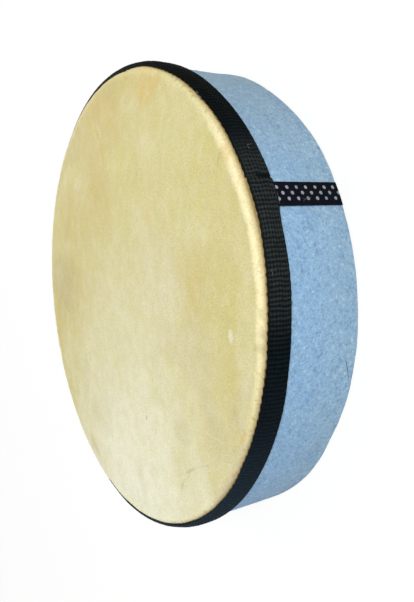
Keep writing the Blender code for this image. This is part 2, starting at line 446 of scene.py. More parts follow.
# tone, middle x and y, half sizes along and across, turn in degrees, strength; in millimetres
skinMarks = [
    ("pale", -100, 36, 34, 62, 0, 0.45),
    ("pale", -44, 99, 16, 7, 10, 0.30),
    ("pale", -98, -12, 12, 24, 0, 0.25),
    ("pale", 52, -46, 34, 14, -30, 0.08),
    ("pale", 107, -26, 8, 8, 0, 0.15),
    ("pale", 8, -36, 24, 20, 0, 0.24),
    ("pale", -96, -66, 12, 10, 0, 0.35),
    ("pale", 84, 76, 14, 4, -42, 0.20),
    ("pale", -62, 82.5, 9, 1.6, -8, 0.35),
    ("pale", -28, -111, 36, 7, -11, 0.28),
    ("pale", -76, -96, 14, 6, -45, 0.22),
    ("pale", -78, 84, 12, 8, 0, 0.32),
    ("pale", 72, 60, 8, 7, 0, 0.28),
    ("pale", -61, 84, 9, 6, 0, 0.22),
    ("pale", 78, -42, 12, 8, 0, 0.18),
    ("bone", 4, -50, 16, 18, 0, 0.14),
    ("pale", -84, -60, 9, 7, 0, 0.38),
    ("pale", -36, 108, 22, 5, 0, 0.22),
    ("pale", 16, 108, 12, 6, 0, 0.22),
    ("pale", -26, 97, 12, 8, 0, 0.22),
    ("pale", 48, -24, 12, 10, 0, 0.18),
    ("olive", 62, -84, 26, 24, 0, 0.30),
    ("olive", 72, -62, 12, 9, 0, 0.32),
    ("olive", 36, -84, 9, 9, 0, 0.28),
    ("olive", -54, -30, 13, 5, 45, 0.38),
    ("olive", 79, 0, 13, 18, 0, 0.75),
    ("brown", 14, 50, 18, 20, 20, 0.35),
    ("olive", 83.5, -8, 9, 8, 0, 0.35),
    ("olive", -84, -50, 18, 13, 0, 0.40),
    ("olive", -30, -48, 9, 4, 0, 0.45),
    ("brown", 57, 70, 22, 34, -20, 0.62),
    ("brown", 72, 26, 14, 20, -30, 0.95),
    ("brown", 66, 22, 8, 9, 0, 0.40),
    ("brown", 48, 22, 16, 14, 0, 0.45),
    ("brown", 60, 14, 9, 9, 0, 0.35),
    ("brown", -72, 60, 10, 8, 0, 0.25),
    ("amber", 55, 78, 13, 7, -45, 0.20),
    ("amber", 87, 19, 10, 8, 0, 0.22),
    ("amber", 102, 12, 9, 7, 0, 0.20),
    ("brown", 48, 108, 10, 6, 0, 0.30),
    ("brown", 24, 74, 12, 10, 0, 0.40),
    ("brown", 98, 20, 16, 38, 0, 0.90),
    ("brown", 117, 6, 12, 42, 0, 1.10),
    ("brown", 6, 82, 26, 22, 0, 0.40),
    ("brown", -8, 112, 26, 12, 0, 0.40),
    ("brown", 4, -76, 20, 16, 0, 0.50),
    ("brown", 92, 78, 12, 5, -40, 0.45),
    ("dusk", 14, 98, 22, 24, -10, 0.62),
    ("dusk", 52, 82, 13, 4, -30, 0.28),
    ("dusk", 82, 91, 18, 3, -42, 0.35),
    ("dusk", 102, 58, 20, 9, -60, 0.40),
    ("brown", -100, 58, 18, 8, 60, 0.25),
    ("dusk", 111, -4, 5, 7, 0, 0.35),
    ("dusk", 119, 0, 5, 14, 0, 0.30),
    ("dusk", -10, -124.4, 2.6, 1.5, 5, 0.55),
    ("dusk", -18.3, -123.6, 2.6, 1.5, 8, 0.60),
    ("dusk", -24, -122.6, 3.0, 1.6, 11, 0.60),
    ("dusk", 111, 15, 5, 8, 0, 0.32),
    ("dusk", -96, 66, 9, 2.5, 54, 0.40),
    ("dusk", -54, -101, 4, 2, 0, 0.35),
    ("dusk", -74, -101, 7, 5, -50, 0.30),
    ("amber", 86, 14.5, 5, 2.2, 0, 0.70),
    ("amber", 112, 6, 5, 14, 0, 0.40),
    ("amber", 109, -47, 11, 13, 0, 0.58),
    ("amber", 104.5, -41.5, 7.0, 2.5, -33, 0.60),
    ("amber", 105.5, -56, 7.0, 2.6, -68, 0.62),
    ("amber", 99.5, -47, 3.2, 1.8, -68, 0.40),
    ("amber", -4, 116, 14, 6, 0, 0.40),
    ("amber", 44, -35, 3.5, 5, 20, 0.40),
    ("amber", 2, -75, 4, 9, 30, 0.40),
    ("amber", -62.5, -105.3, 3.6, 1.4, -36, 0.78),
    ("amber", 58, -109, 4, 3, 0, 0.60),
    ("smoke", 12, -42, 26, 22, 0, 0.25),
    ("smoke", -24, -48, 11, 13, 0, 0.30),
    ("smoke", -34, -31, 9, 5, 0, 0.22),
    ("smoke", -28, -74, 16, 14, 0, 0.40),
    ("smoke", -53, -80, 13, 4.5, 20, 0.60),
    ("smoke", -70, -85, 9, 11, 0, 0.40),
    ("smoke", -62, -93, 16, 9, 0, 0.15),
    ("smoke", -52, -104, 13, 8, -30, 0.45),
    ("smoke", -69, -51, 7, 9, 0, 0.45),
    ("smoke", -50, 70, 13, 5, -10, 0.28),
    ("smoke", -72, 46, 14, 14, 0, 0.28),
    ("smoke", -103, -2, 10, 3.5, 0, 0.30),
    ("smoke", -97, -18, 7, 4.0, 0, 0.22),
    ("bone", 100, 15.5, 6, 1.0, 25, 0.35),
    ("bone", -19.4, -102.4, 3.0, 1.9, 0, 0.85),
    ("bone", -77.5, -93, 1.4, 0.9, 0, 0.50),
    ("dusk", -66.3, -14, 1.0, 0.9, 0, 0.95),
    ("dusk", -5, 93, 1.3, 1.1, 0, 0.90),
    ("dusk", -38, 60, 1.1, 1.0, 0, 0.75),
    ("dusk", 66, -27.5, 1.0, 0.9, 0, 0.70),
]

# thin lines in the skin: from x, y to x, y, width, and strength, dark below 0; in millimetres
skinLines = [
    (-98.6, -47.2, -94.4, -49.6, 1.1, -0.18),
    (-94.4, -49.6, -91.7, -53.5, 0.8, -0.08),
    (-91.7, -53.5, -87.5, -58.2, 0.8, -0.07),
    (-91.4, -46.6, -88.8, -53.7, 0.6, -0.05),
    (-88.8, -53.7, -85.2, -61.9, 0.9, -0.15),
    (-85.2, -61.9, -82.6, -69.2, 0.7, -0.04),
    (-82.6, -69.2, -80.5, -75.6, 0.6, -0.08),
    (-78.4, -69.4, -80, -71.1, 0.6, -0.10),
    (-55, -63, -59, -66, 0.35, -0.10),
    (-65, -75, -68, -89, 0.30, 0.12),
    (-73, -84.5, -72.7, -96, 0.26, 0.10),
    (-75.5, -75.5, -78, -79.5, 0.28, 0.10),
    (-77, -88.5, -76.8, -94.5, 0.26, 0.10),
    (54, -103, 62, -107, 0.6, -0.12),
    (-71, -107, -60, -111, 0.5, -0.12),
    (102, 24, 93, 17, 0.5, 0.12),
]


def skinPoints():
    top, radius = headRing["high"], headRing["outer"]
    flat = radius - skin["bend"]
    ease = np.linspace(skin["centreGap"], 1, skin["flatRings"])
    turn = np.linspace(0, math.pi / 2, skin["bendRings"] + 1)[1:]
    fall = np.linspace(0, 1, skin["wallRings"] + 1)[1:]
    outerR = np.concatenate([flat * ease, flat + skin["bend"] * np.sin(turn), np.full(fall.size, radius)])
    wallTop = top - skin["bend"]
    wallZ = wallTop + (headRing["low"] - wallTop) * fall
    outerZ = np.concatenate([np.full(ease.size, top), wallTop + skin["bend"] * np.cos(turn), wallZ])
    inner, back = skin["bend"] - skin["thick"], turn[::-1]
    wallR = np.full(fall.size, radius - skin["thick"])
    underZ = np.full(ease.size, top - skin["thick"])
    innerR = np.concatenate([wallR, flat + inner * np.sin(back), flat * ease[::-1]])
    innerZ = np.concatenate([wallZ[::-1], wallTop + inner * np.cos(back), underZ])
    return np.concatenate([outerR, innerR]), np.concatenate([outerZ, innerZ]), outerR.size


def rimReach(height):  # radius of the skin's outside at a height
    over = np.clip(height - (headRing["high"] - skin["bend"]), 0, skin["bend"])
    return headRing["outer"] - skin["bend"] + np.sqrt(skin["bend"] ** 2 - over**2)


def drawSkin():
    radius, height, outerCount = skinPoints()
    turn = np.linspace(0, 2 * math.pi, skin["spokes"], endpoint=False)[None, :]
    radius, height = radius[:, None], height[:, None]
    points = onHoop(turn, radius, height)
    flat = headRing["outer"] - skin["bend"]
    middle = 1 - np.clip(radius / flat, 0, 1) ** 6
    edgeFrom = flat * skin["edgeFrom"]
    edge = np.clip((radius - edgeFrom) / (flat - edgeFrom), 0, 1)
    wall = np.clip((headRing["high"] - height) / skin["bend"], 0, 1) * edge
    rimLine = onHoop(turn, headRing["outer"], 0.0)
    wander = ripple(rimLine, skin["rimWave"], 11) + 0.5 * ripple(rimLine, skin["rimWave"] / 3, 12)
    puckers = np.cos(skin["puckerCount"] * turn + 3 * ripple(rimLine, skin["puckerWave"], 13))
    lift = skin["sag"] * ripple(points, skin["sagWave"], 14) * middle
    lift = lift - skin["rimWander"] * np.abs(wander) * edge * (1 - wall)
    inward = skin["rimWander"] * np.abs(wander) * wall + skin["pucker"] * (0.5 + 0.5 * puckers) * wall
    swell = wandering(skin["roundLine"], bearingOf(turn), skin["roundSoft"])
    swell = swell * np.clip(radius / flat, 0, 1) ** 3
    points = onHoop(turn, radius - inward + swell, height + lift)
    faces = bandFaces(points)
    outsideFaces = (outerCount - 1) * skin["spokes"]
    slots = [int(index >= outsideFaces) for index in range(len(faces) - 2)] + [0, 1]
    above = (points[..., 2] - frontEdge(turn) + np.clip(headRing["outer"] - radius, 0, None)) / mm
    lay = np.stack([above, 0 * above, 0 * above], axis=-1)  # millimetres from the webbing, over the bend
    piece = makePiece("goatskin", points, faces, skinLook(), lay)
    piece.data.materials.append(undersideLook())
    piece.data.polygons.foreach_set("material_index", slots)
    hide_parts("drum_head")


def skinMarked(look, colour, x, y, marks):
    for tone, middleX, middleY, halfX, halfY, turn, strength in marks:
        cosine, sine = math.cos(math.radians(turn)), math.sin(math.radians(turn))
        along = (x - middleX) * cosine + (y - middleY) * sine
        across = (y - middleY) * cosine - (x - middleX) * sine
        far = (along / halfX) ** 2.0 + (across / halfY) ** 2.0
        colour = look.blend(far.between(1.9, 0.0) * (0.7 * strength), colour, skinTones[tone])
    return colour


def stainedSkin(look, spot, cloud, quick):  # the open face, with its wide stains
    x, y, z = look.apart(spot)
    slow = look.apart(look.noise(spot, 34.0, 3.0, 1.0, output="Color"))
    warpX = x + (slow[0] - 0.5) * 16.0 + (quick[0] - 0.5) * 9.0
    warpY = y + (slow[1] - 0.5) * 16.0 + (quick[1] - 0.5) * 9.0
    aside = (warpY - 3.0) / 100.0
    lighterSide = ((55.0 - warpX) / 160.0).clipped() * (1.0 - aside * aside).clipped()  # paler towards one side
    colour = look.blend(lighterSide, skinTones["hide"], skinTones["pale"])
    colour = look.blend(cloud.between(0.5, 0.8) * 0.30, colour, skinTones["olive"])
    colour = look.blend(cloud.between(0.5, 0.25) * 0.22, colour, skinTones["pale"])
    wide = [mark for mark in skinMarks if min(mark[3:5]) > fineMark]
    colour = skinMarked(look, colour, warpX, warpY, wide)
    blush = look.noise(look.stretched(spot, (0.8, 1.0, 1.0)), 7.0, 3.0, 8.0, 0.6)
    colour = look.blend(blush.between(0.40, 0.72) * 0.22, colour, skinTones["olive"])
    return look.blend(blush.between(0.60, 0.28) * 0.15, colour, skinTones["pale"])


def rimSkin(look, colour, spot, cloud, quick, mottle):  # the bend over the rim, with painted highlight and shade, and the small marks
    x, y, z = look.apart(spot)
    reach = (x * x + y * y) ** 0.5
    outer, high = headRing["outer"] / mm, headRing["high"] / mm
    faced = facing(x, y, seamTurn)
    lit = facing(x, y, seamTurn - math.radians(8.0)).between(0.80, 0.97)
    dullerTurns = facing(x, y, dullestTurn).between(0.965, 0.998)
    ragged = reach + (mottle - 0.5) * 5.0 + (cloud - 0.5) * 4.0
    # painted highlight along the bend, strongest on the lit side
    rimHighlight = (0.22 + 0.60 * lit) * (1.0 - 0.7 * dullerTurns)
    colour = look.blend(ragged.between(outer - 5.6, outer - 2.4) * rimHighlight, colour, skinTones["rim"])
    rosy = ragged.between(outer - 6.0, outer - 1.6) * dullerTurns
    colour = look.blend(rosy * 0.40, colour, skinTones["rosy"])
    colour = look.shade(colour, reach.between(outer - 5.0, outer - 1.0) * dullerTurns * -0.10)
    fine = [mark for mark in skinMarks if min(mark[3:5]) <= fineMark]
    colour = skinMarked(look, colour, x + (quick[0] - 0.5) * 2.5, y + (quick[1] - 0.5) * 2.5, fine)
    # painted shade on the wall under the bend, on the lit side
    wall = z.between(high - 0.4, high - 1.8) * faced.between(0.80, 0.96)
    colour = look.blend(wall * 0.9, colour, skinTones["wall"])
    spots = look.noise(spot, 2.2, 2.0, 10.0).between(0.52, 0.66) * reach.between(outer - 3.2, outer - 1.0)
    colour = look.blend(spots * (0.65 - 0.40 * lit), colour, skinTones["edge"])
    # painted shade at the outer edge of the bend, away from the lit side
    fall = (reach + (mottle - 0.5) * 1.0).between(outer - 1.7, outer - 0.3) * faced.between(0.97, 0.86)
    return look.shade(colour, fall * -0.30)


def tuckedSkin(look, colour, spot, mottle):  # where it goes in behind the webbing: painted shadow of the webbing, partly a brownish stain
    x, y, z = look.apart(spot)
    faced = facing(x, y, seamTurn)
    above = look.apart(look.attribute("lay"))[0] + (mottle - 0.5) * 1.2
    halfRows = webbingRing["outer"] / webbing["rowPitch"] * math.pi
    around = (webbingStart() - x.maths("ARCTAN2", y, x)) * halfRows
    ribGapShadow = x.maths("COSINE", around).between(-0.3, -0.95) * above.between(0.8, 0.1)  # painted shadow in the gaps at every second rib
    # painted shadow of the webbing on the skin, partly a brownish stain, lighter where the webbing stands
    # off on the lit side
    tuckShadow = look.blend(faced.between(0.93, 0.985), skinTones["tuckShadow"], skinTones["lipShadow"])
    colour = look.blend(above.between(1.6, 0.1) * 0.8, colour, skinTones["edge"])
    colour = look.blend(above.between(0.5, -0.3), colour, tuckShadow)
    return look.blend(ribGapShadow * faced.between(0.985, 0.955) * 0.55, colour, skinTones["gapShadow"])


def skinScratches(look, spot):
    x, y, z = look.apart(spot)
    wiggle = (look.noise(spot, 4.0, 2.0, 7.0) - 0.5) * 1.6
    scratch = 0.0
    for startX, startY, endX, endY, width, strength in skinLines:
        length = math.hypot(endX - startX, endY - startY)
        runX, runY = (endX - startX) / length, (endY - startY) / length
        along = (x - startX) * runX + (y - startY) * runY
        off = (y - startY) * runX - (x - startX) * runY + wiggle
        line = (off * off).between((width * 1.2) ** 2, 0.0)
        inside = along.between(-1.5, 1.5) * along.between(length + 1.5, length - 1.5)
        scratch = line * inside * strength + scratch
    return scratch


def skinLook():
    look = Look("dryGoatskin", Specular_IOR_Level=0.085)
    spot = look.place()
    cloud = look.noise(spot, 48.0, 4.0, 3.0, 0.6)
    quick = look.apart(look.noise(spot, 7.0, 3.0, 2.0, output="Color"))
    mottle = look.noise(spot, 5.0, 4.0, 4.0, 0.65)
    colour = stainedSkin(look, spot, cloud, quick)
    colour = rimSkin(look, colour, spot, cloud, quick, mottle)
    colour = tuckedSkin(look, colour, spot, mottle)
    grain = look.noise(spot, 1.0, 3.0, 5.0, 0.65)
    speck = look.noise(spot, 0.42, 2.0, 9.0, 0.6)
    porous = look.noise(spot, 9.0, 2.0, 6.0).between(0.42, 0.62)
    pores = look.cells(spot, 1.25).between(0.20, 0.05) * porous
    scratch = skinScratches(look, spot)
    amount = (mottle - 0.5) * 0.19 + (grain - 0.5) * 0.46 + (speck - 0.5) * 0.60 - pores * 0.08 + scratch
    colour = look.shade(colour, amount)
    rough = 0.50 + (mottle - 0.5) * 0.25 + pores * 0.1
    relief = look.bump(grain * 0.5 + mottle * 0.5 - pores * 0.6 + scratch * 0.5, 0.12 * mm, 0.8)
    return look.finish(Base_Color=colour, Roughness=rough, Normal=relief)


def undersideLook():
    look = Look("fleshSide", Specular_IOR_Level=0.25)
    spot = look.place()
    cloud = look.noise(spot, 30.0, 4.0, 21.0, 0.6)
    fibres = look.noise(look.stretched(spot, (1.0, 0.12, 1.0), 0.6), 0.9, 4.0, 22.0, 0.6)
    colour = look.blend(cloud.between(0.3, 0.75), skinTones["flesh"], skinTones["fleshDark"])
    colour = look.shade(colour, (fibres - 0.5) * 0.3)
    rough = 0.75 + (fibres - 0.5) * 0.2
    return look.finish(Base_Color=colour, Roughness=rough, Normal=look.bump(fibres, 0.15 * mm))


# weave of the webbing

def webbingWeave(rows, across, past):
    # relief of the weave: smooth ribs and notched ribs in turn, with pits in the valleys between them
    rng = np.random.default_rng(31)
    rib = 0.5 + 0.5 * np.cos(2 * math.pi * rows)
    smooth = 0.5 + 0.5 * np.cos(math.pi * rows)
    bar = 0.5 + 0.5 * np.cos(2 * math.pi * across)
    notched = 1 - webbing["notch"] * (1 - bar**0.6)
    ribTop = rib**0.85 * (smooth * 0.97 + (1 - smooth) * notched)
    pull = rng.uniform(*webbing["pick"], int(rows.max()) + 2)
    valley = np.clip(np.floor(rows).astype(int), 0, pull.size - 1)
    barTop = np.interp(past, *zip(*webbing["barLine"])) * bar**1.2 * pull[valley]
    relief = np.maximum(ribTop, barTop) + 0.15 * np.minimum(ribTop, barTop)
    relief = relief - 0.10 * (1 - bar) * smooth
    uneven = rng.uniform(*webbing["ribHeight"], (int(rows.max()) + 2, webbing["columns"] + 3))
    row = np.clip(np.rint(rows).astype(int), 0, uneven.shape[0] - 1)
    column = np.clip(np.floor(across).astype(int) + 1, 0, uneven.shape[1] - 1)
    return np.clip(relief * uneven[row, column], 0, 1)


def weaveWebbing():
    bed = webbingRing["outer"] - webbing["lift"] - webbing["thick"]
    hug = webbingRing["inner"]
    rear = webbingRing["low"] + webbing["skew"]
    face = bed + webbing["thick"]
    length = 2 * math.pi * face - webbing["endGap"]
    stations = round(length / webbing["rowPitch"]) * webbing["rowSteps"] + 1
    along = np.linspace(0, length, stations)[:, None]
    rows = along / webbing["rowPitch"]
    turned = along / face
    turn = webbingStart() - turned
    overRibbon = ribbonRing["span"] + 2 * webbing["endLap"] / ribbonRing["outer"]
    lift = webbing["lift"] * eased((turned - overRibbon) / webbing["liftEase"])
    past = along / length * 360
    frontLine = wandering(webbing["frontLine"], past, webbing["lineSoft"])
    rearLine = wandering(webbing["rearLine"], past, webbing["lineSoft"])
    looseLine = wandering(webbing["looseLine"], past, webbing["lineSoft"])
    edgeWave = -np.cos(math.pi * rows)  # the notched ribs reach further
    uneven = ripple(onHoop(turn, bed, 0.0), webbing["scallopWave"], 32)
    scallop = webbing["scallop"] * (1 - 0.85 * np.clip(frontLine / mm, 0, 1))  # pressed flat over the bend
    dip = webbing["endDip"] * eased(np.minimum(along, length - along) / webbing["endDipReach"])
    faceOut = np.linspace(0, 1, webbing["columns"] * webbing["columnSteps"] + 1)[None, :]
    faceIn = np.linspace(1, 0, webbing["backSteps"])[None, :]
    sections, lays = [], []
    for across, isOut in ((faceOut, True), (faceIn, False)):
        toEdge = np.minimum(across, 1 - across) * webbing["width"]
        nearEdge = eased(toEdge / webbing["selvedge"])
        bulge = webbing["edgeBulge"] + scallop * ((1.6 - across) * edgeWave + uneven)
        spread = bulge * np.sign(across - 0.5) * nearEdge
        height = rear + (webbing["width"] + frontLine) * (1 - across) + rearLine * across - spread
        slope = eased(across * webbing["width"] / webbing["shoulder"])
        lean = rimReach(height) - headRing["outer"]  # over the rounded rim
        base = bed - (bed - hug) * slope + looseLine * (1 - 0.8 * slope) + lean + lift
        spots = onHoop(turn, bed, height)
        columnStray = webbing["sway"] * ripple(spots, webbing["columnSway"], 33)
        rowStray = webbing["sway"] * ripple(spots, webbing["rowSway"], 34)
        weave = webbingWeave(rows + rowStray, across * webbing["columns"] - 0.5 + columnStray, past)
        rearEdge = eased((1 - across) * webbing["width"] / (2 * webbing["selvedge"]))
        weave = weave + (webbing["rearWeave"] - weave) * rearEdge
        foreEdge = eased(across * webbing["width"] / webbing["selvedge"])
        weave = weave + (webbing["foreWeave"] - weave) * foreEdge
        thick = webbing["thick"] * (1 - webbing["edgeThin"] * nearEdge**2) - dip
        out = thick - webbing["relief"] * (1 - weave) if isOut else webbing["backRise"] * nearEdge
        sections.append(onHoop(turn, base + out, height))
        placed = np.broadcast_arrays(along / mm, webbing["width"] / mm * across, weave * isOut)
        lays.append(np.stack(placed, axis=-1))
    points, lay = np.concatenate(sections, axis=1), np.concatenate(lays, axis=1)
    piece = makePiece("rimWebbing", points, bandFaces(points), webbingLook(length), lay)
    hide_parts("rim_webbing")


def webbingLook(length):
    look = Look("blackWebbing", Specular_IOR_Level=0.012)
    lay = look.attribute("lay")
    along, across, weave = look.apart(lay)
    filament = look.noise(look.stretched(lay, (0.35, 3.5, 0.0)), 0.5, 2.0, 41.0, 0.6)
    dusty = look.noise(lay, 6.0, 4.0, 42.0, 0.65)
    patchy = look.noise(lay, 1.3, 3.0, 43.0, 0.6)
    x, y, z = look.apart(look.place())
    faced = facing(x, y, seamTurn - math.radians(7.0))
    aside = facing(x, y, seamTurn + math.pi / 2)
    dustAndSheen = faced.between(0.92, 0.99)  # painted sheen by the seam
    calm = aside.between(0.0, 0.5)  # painted shade on the far side, where the weave shows less of its painted shade
    still = aside.between(-0.45, -0.80)  # and the weave shows less of its painted shade on the near side
    # painted reflection, lighter and bluer, on the lower side
    colour = look.blend(aside.between(-0.96, -0.66), webbingTones["lighterSide"], webbingTones["midSide"])
    # painted shade on the far side
    colour = look.blend(calm, colour, webbingTones["far"])
    colour = look.blend(dustAndSheen, colour, webbingTones["seamSheen"])
    # painted shade in the weave's pits and valleys
    pitShade = (0.77 + 0.03 * dustAndSheen) * (1.0 - 0.45 * calm) * (1.0 - 0.50 * still)
    colour = look.shade(colour, (weave.between(0.05, 1.0) - 1.0) * pitShade)
    colour = look.shade(colour, (patchy - 0.5) * 1.1)
    # dust on the tops of the ribs
    colour = look.blend(dusty.between(0.55, 0.85) * weave * 0.25, colour, webbingTones["dustAndSheen"])
    colour = look.shade(colour, (filament - 0.5) * 0.9)
    fore = across.between(0.8, 0.2) * faced.between(0.6, 0.95)
    colour = look.blend(fore * 0.6, colour, webbingTones["foreEdge"])
    # painted shadow in the gap between the two ends
    toEnd = along.maths("MINIMUM", along, length / mm - along)
    cut = toEnd.between(1.3, 0.5) * across.between(3.0, 5.5)
    colour = look.blend(cut * 0.85, colour, webbingTones["endGapShadow"])
    wide = webbing["width"] / mm
    # painted shade along the rear selvedge
    colour = look.blend(across.between(wide - 0.9, wide - 0.2), colour, webbingTones["rearEdge"])
    rough = 0.55 - 0.10 * weave + (filament - 0.5) * 0.2
    return look.finish(Base_Color=colour, Roughness=rough, Normal=look.bump(filament, 0.06 * mm))


# felt round the side

felt = {
    "step": 1.1 * mm,
    "heightSteps": 40,
    "roundEdge": 0.5 * mm,
    "lump": 0.07 * mm,
    "lumpWave": 6 * mm,
    "edgeWander": 0.14 * mm,
    "edgeWave": 9 * mm,
    "edgeRise": 4 * mm,  # how far up that unevenness reaches
    # millimetres that the rear edge stands off the hoop, by degrees of turn
    "edgeLine": (
        (-180, 0), (-157, -0.1), (-147, 0.4), (-139, 0.75), (-132, 0.5), (-126, -0.2), (-115, 0.5),
        (-108, 0.25), (-103, 0.45), (-97, 0), (-70, -0.1), (-64, 0.6), (-59, 0.7), (-53, 0.25),
        (-45, -0.2), (-36, -0.1), (-31, 0.25), (-27, 0.5), (-20, 0.6), (-8, 0.3), (8, 0), (180, 0),
    ),
    "edgeReach": 14 * mm,
    "edgeSoft": 5.0,
    "seamGap": 0.6 * mm,
    "fuzz": 8000,
    "fuzzLength": (1.2 * mm, 4.0 * mm),
    "fuzzThick": (0.025 * mm, 0.05 * mm),
    "fuzzLift": 0.30 * mm,
    "fuzzFloat": 0.01 * mm,
    "fuzzBend": 0.9,
    "fuzzPoints": 6,
    "fuzzFrom": 0.3 * mm,  # above the rear edge
    "fuzzPastRear": 0.1 * mm,
    "fuzzPastFront": 0.6 * mm,
    "ribbonClear": 2 * mm,
}

feltTones = {
    "dull": tint(148, 182, 210),
    "clear": tint(160, 194, 218),
    "bluerTurns": tint(146, 190, 230),
    "dullerTurns": tint(146, 176, 196),
    "greyTurns": tint(150, 180, 186),
    "darkBlotch": tint(118, 152, 190),
    "paleBlotch": tint(184, 214, 232),
    "darkFibre": tint(106, 144, 196),
    "paleFibre": tint(192, 220, 240),
    "darkFuzz": tint(122, 160, 206),
    "paleFuzz": tint(178, 210, 234),
}


def layFelt():
    inner, outer, low, high = (feltRing[name] for name in ("inner", "outer", "low", "high"))
    gap = felt["seamGap"] / outer
    stations = int(2 * math.pi * outer / felt["step"])
    turn = np.linspace(seamTurn + gap / 2, seamTurn + 2 * math.pi - gap / 2, stations)[:, None]
    corner = felt["roundEdge"]
    arc = np.linspace(math.pi / 2, 0, 5)
    roundedZ, roundedR = low + corner * (1 - np.sin(arc)), outer - corner * (1 - np.cos(arc))
    side = np.linspace(low + corner, high, felt["heightSteps"])[1:]
    height = np.concatenate([roundedZ, side, [high, low]])[None, :]
    radius = np.concatenate([roundedR, np.full(side.size, outer), [inner, inner]])[None, :]
    points = onHoop(turn, radius, height)
    outside = (radius - inner) / (outer - inner)
    radius = radius + felt["lump"] * ripple(points, felt["lumpWave"], 51) * outside
    edge = felt["edgeWander"] * (ripple(onHoop(turn, outer, 0.0), felt["edgeWave"], 52) + 1)
    standOff = wandering(felt["edgeLine"], bearingOf(turn), felt["edgeSoft"])
    radius = radius + standOff * eased((height - low) / felt["edgeReach"])
    height = height + edge * eased((height - low) / felt["edgeRise"])
    points = onHoop(turn, radius, height)
    lay = np.stack(np.broadcast_arrays((turn - seamTurn) * outer / mm, height / mm, outside), axis=-1)
    piece = makePiece("feltCover", points, bandFaces(points), feltLook(), lay)
    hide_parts("felt_cover")
    fuzz = combFuzz()


def combFuzz():
    rng = np.random.default_rng(53)
    count = felt["fuzz"]
    turn = rng.uniform(0, 2 * math.pi, count)
    height = rng.uniform(feltRing["low"] + felt["fuzzFrom"], webbingRing["low"], count)
    half = ribbonRing["span"] / 2 + felt["ribbonClear"] / feltRing["outer"]
    clear = np.abs((turn - seamTurn + math.pi) % (2 * math.pi) - math.pi) > half
    turn, height = turn[clear], height[clear]
    count = turn.size
    length = rng.uniform(*felt["fuzzLength"], count)
    heading = rng.uniform(0, math.pi, count)
    bend = rng.normal(0, felt["fuzzBend"], count)
    lift = felt["fuzzLift"] * rng.uniform(0, 1, count) ** 2
    steps = np.linspace(-0.5, 0.5, felt["fuzzPoints"])[None, :]
    heading = heading[:, None] + bend[:, None] * steps
    stride = length[:, None] / (felt["fuzzPoints"] - 1)
    sideways = np.cumsum(np.cos(heading) * stride, axis=1)
    upward = np.cumsum(np.sin(heading) * stride, axis=1)
    rise = lift[:, None] * (1 - (2 * steps) ** 2) + felt["fuzzFloat"]
    low, high = feltRing["low"] - felt["fuzzPastRear"], webbingRing["low"] + felt["fuzzPastFront"]
    level = np.clip(height[:, None] + upward, low, high)
    around = turn[:, None] + sideways / feltRing["outer"]
    lines = onHoop(around, feltRing["outer"] + rise, level)
    outward = onHoop(around, 1.0, 0.0)
    thick = rng.uniform(*felt["fuzzThick"], count)
    return strandPiece("feltFuzz", lines, outward, thick, fuzzLook())


def feltLook():
    look = Look("blueFelt", Specular_IOR_Level=0.08, Sheen_Weight=0.10, Sheen_Roughness=0.6)
    lay = look.attribute("lay")
    fibres = 0.0
    for index, turn in enumerate((0.3, 1.35, 2.4)):
        drawn = look.stretched(lay, (0.22, 1.0, 0.0), turn)
        fibres = look.noise(drawn, 0.55, 3.0, 61.0 + index, 0.6) + fibres
    fibres = fibres / 3.0
    cloud = look.noise(lay, 9.0, 4.0, 65.0, 0.6)
    blotch = look.noise(lay, 1.7, 3.0, 67.0, 0.65)
    speck = look.noise(lay, 0.9, 3.0, 66.0, 0.7)
    along, height, outside = look.apart(lay)
    bluerTurns = along.between(70.0, -10.0).larger(along.between(200.0, 500.0))
    front = height.between(2.0, 34.0) * bluerTurns  # the rear half and one end are greyer
    greyTurns = along.between(68.0, 88.0) * along.between(460.0, 320.0)
    colour = look.blend(cloud.between(0.3, 0.7), feltTones["dull"], feltTones["clear"])
    layers = (
        (front * 0.7, "bluerTurns"),
        ((1.0 - bluerTurns) * 0.5, "dullerTurns"),
        (greyTurns * 0.4, "greyTurns"),
        (blotch.between(0.48, 0.34) * 0.75, "darkBlotch"),
        (blotch.between(0.54, 0.68) * 0.75, "paleBlotch"),
        (fibres.between(0.50, 0.36) * 0.75, "darkFibre"),
        (fibres.between(0.52, 0.66) * 0.70, "paleFibre"),
    )
    for share, tone in layers:
        colour = look.blend(share, colour, feltTones[tone])
    colour = look.shade(colour, (speck - 0.5) * 0.9)
    return look.finish(Base_Color=colour, Roughness=0.95, Normal=look.bump(fibres + speck * 0.5, 0.25 * mm))


def fuzzLook():
    look = Look("blueFuzz", Specular_IOR_Level=0.1, Sheen_Weight=0.3)
    cloud = look.noise(look.place(), 3.0, 2.0, 71.0)
    colour = look.blend(cloud.between(0.35, 0.65), feltTones["darkFuzz"], feltTones["paleFuzz"])
    return look.finish(Base_Color=colour, Roughness=0.9)


# dotted ribbon over the felt's seam

